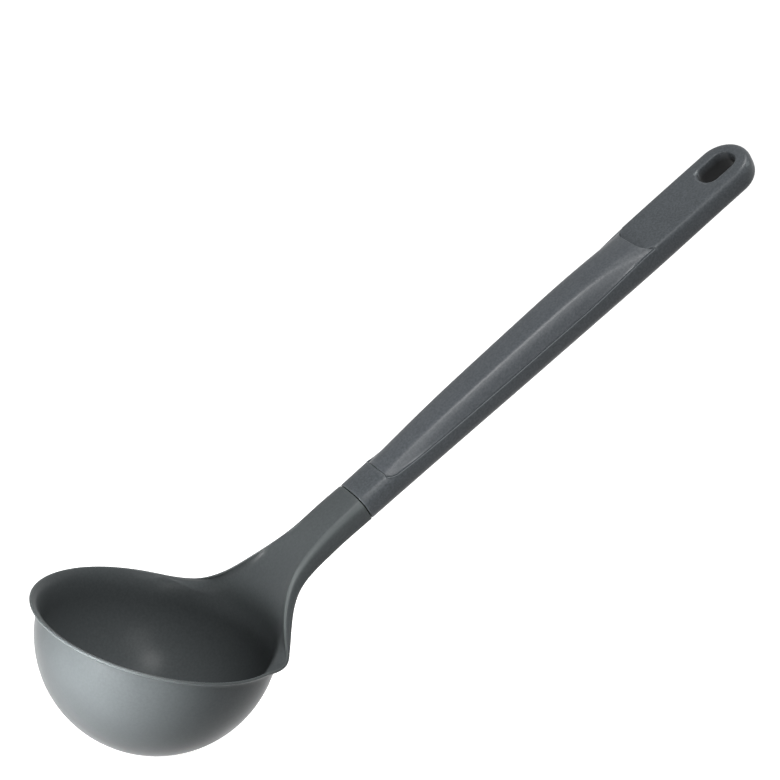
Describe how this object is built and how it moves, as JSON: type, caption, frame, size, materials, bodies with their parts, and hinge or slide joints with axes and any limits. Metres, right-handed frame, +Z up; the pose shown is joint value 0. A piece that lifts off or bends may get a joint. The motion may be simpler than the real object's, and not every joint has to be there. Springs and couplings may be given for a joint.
{
  "type": "sauce ladle",
  "caption": "Deep round bowl with a thin flared lip and a long inclined handle with a soft grip inlay and a hanging slot, for scooping and pouring sauce",
  "frame": {"origin": "middle of the small flat under the bowl", "axes": "+Z up with the rim level, +X from the bowl towards the handle's end, +Y completes the right-handed frame across the symmetric ladle"},
  "size_m": [0.2254, 0.08, 0.2162],
  "materials": {
    "head_plastic": "satin moulded",
    "handle_plastic": "fine matte texture",
    "grip_rubber": "soft-touch matte"
  },
  "bodies": {
    "root": {"ladle_head": "head_plastic", "handle_body": "handle_plastic", "grip_inlay": "grip_rubber"}
  },
  "joints": []
}
